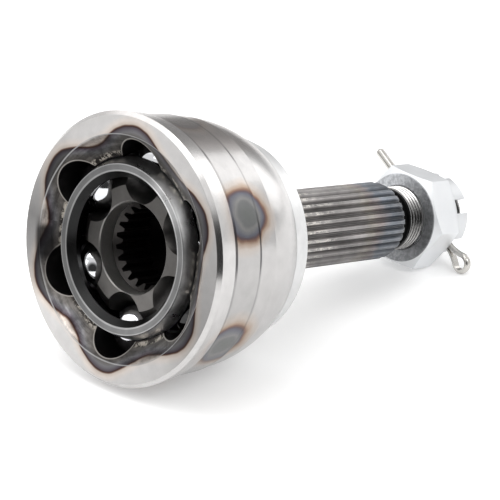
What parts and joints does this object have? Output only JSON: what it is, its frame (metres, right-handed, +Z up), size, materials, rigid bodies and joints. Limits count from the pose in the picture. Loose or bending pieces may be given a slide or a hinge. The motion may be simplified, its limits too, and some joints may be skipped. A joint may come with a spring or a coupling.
{
  "type": "cv joint",
  "caption": "Outer constant-velocity joint: a bell with a splined stub shaft, caged balls round a splined inner race, a castle nut and a split pin.",
  "frame": {"origin": "centre of the joint, where the bell's, the cage's and the inner race's spheres meet", "axes": "+Y along the spin axis from the open mouth to the nut, +Z up, +X to the right seen from the mouth"},
  "size_m": [0.086, 0.1597, 0.086],
  "materials": {
    "bell_steel": "turned, heat tinted over the tracks",
    "race_steel": "ground satin",
    "cage_steel": "dark satin",
    "ball_steel": "polished",
    "nut_zinc": "bright zinc plate",
    "pin_steel": "bright drawn wire"
  },
  "bodies": {
    "outer_race": {"outer_race": "bell_steel", "castle_nut": "nut_zinc"},
    "inner_race": {"inner_race": "race_steel"},
    "cage": {"cage": "cage_steel"},
    "ball_1": {"ball_1": "ball_steel"},
    "ball_2": {"ball_2": "ball_steel"},
    "ball_3": {"ball_3": "ball_steel"},
    "ball_4": {"ball_4": "ball_steel"},
    "ball_5": {"ball_5": "ball_steel"},
    "ball_6": {"ball_6": "ball_steel"},
    "split_pin": {"split_pin": "pin_steel"}
  },
  "joints": [
    {"name": "swing", "type": "hinge", "parent": "outer_race", "child": "inner_race", "pos_m": [0, 0, 0], "axis": [1, 0, 0], "range_deg": [-42, 42]},
    {"name": "cage_tilt", "type": "hinge", "parent": "outer_race", "child": "cage", "pos_m": [0, 0, 0], "axis": [1, 0, 0], "range_deg": [-21, 21]},
    {"name": "ball_1_roll", "type": "hinge", "parent": "outer_race", "child": "ball_1", "pos_m": [0, -0.004, 0], "axis": [0.5, 0, -0.866], "range_deg": [-10.5, 10.5]},
    {"name": "ball_2_roll", "type": "hinge", "parent": "outer_race", "child": "ball_2", "pos_m": [0, -0.004, 0], "axis": [1, 0, 0], "range_deg": [-21, 21]},
    {"name": "ball_3_roll", "type": "hinge", "parent": "outer_race", "child": "ball_3", "pos_m": [0, -0.004, 0], "axis": [0.5, 0, 0.866], "range_deg": [-10.5, 10.5]},
    {"name": "ball_4_roll", "type": "hinge", "parent": "outer_race", "child": "ball_4", "pos_m": [0, -0.004, 0], "axis": [-0.5, 0, 0.866], "range_deg": [-10.5, 10.5]},
    {"name": "ball_5_roll", "type": "hinge", "parent": "outer_race", "child": "ball_5", "pos_m": [0, -0.004, 0], "axis": [-1, 0, 0], "range_deg": [-21, 21]},
    {"name": "ball_6_roll", "type": "hinge", "parent": "outer_race", "child": "ball_6", "pos_m": [0, -0.004, 0], "axis": [-0.5, 0, -0.866], "range_deg": [-10.5, 10.5]},
    {"name": "pin_pull", "type": "slide", "parent": "outer_race", "child": "split_pin", "axis": [0.8387, 0, -0.5446], "range_m": [0, 0.05]}
  ],
  "couplings": [
    {"joint": "cage_tilt", "follows": "swing", "ratio": 0.5},
    {"joint": "ball_1_roll", "follows": "swing", "ratio": 0.25},
    {"joint": "ball_2_roll", "follows": "swing", "ratio": 0.5},
    {"joint": "ball_3_roll", "follows": "swing", "ratio": 0.25},
    {"joint": "ball_4_roll", "follows": "swing", "ratio": -0.25},
    {"joint": "ball_5_roll", "follows": "swing", "ratio": -0.5},
    {"joint": "ball_6_roll", "follows": "swing", "ratio": -0.25}
  ]
}
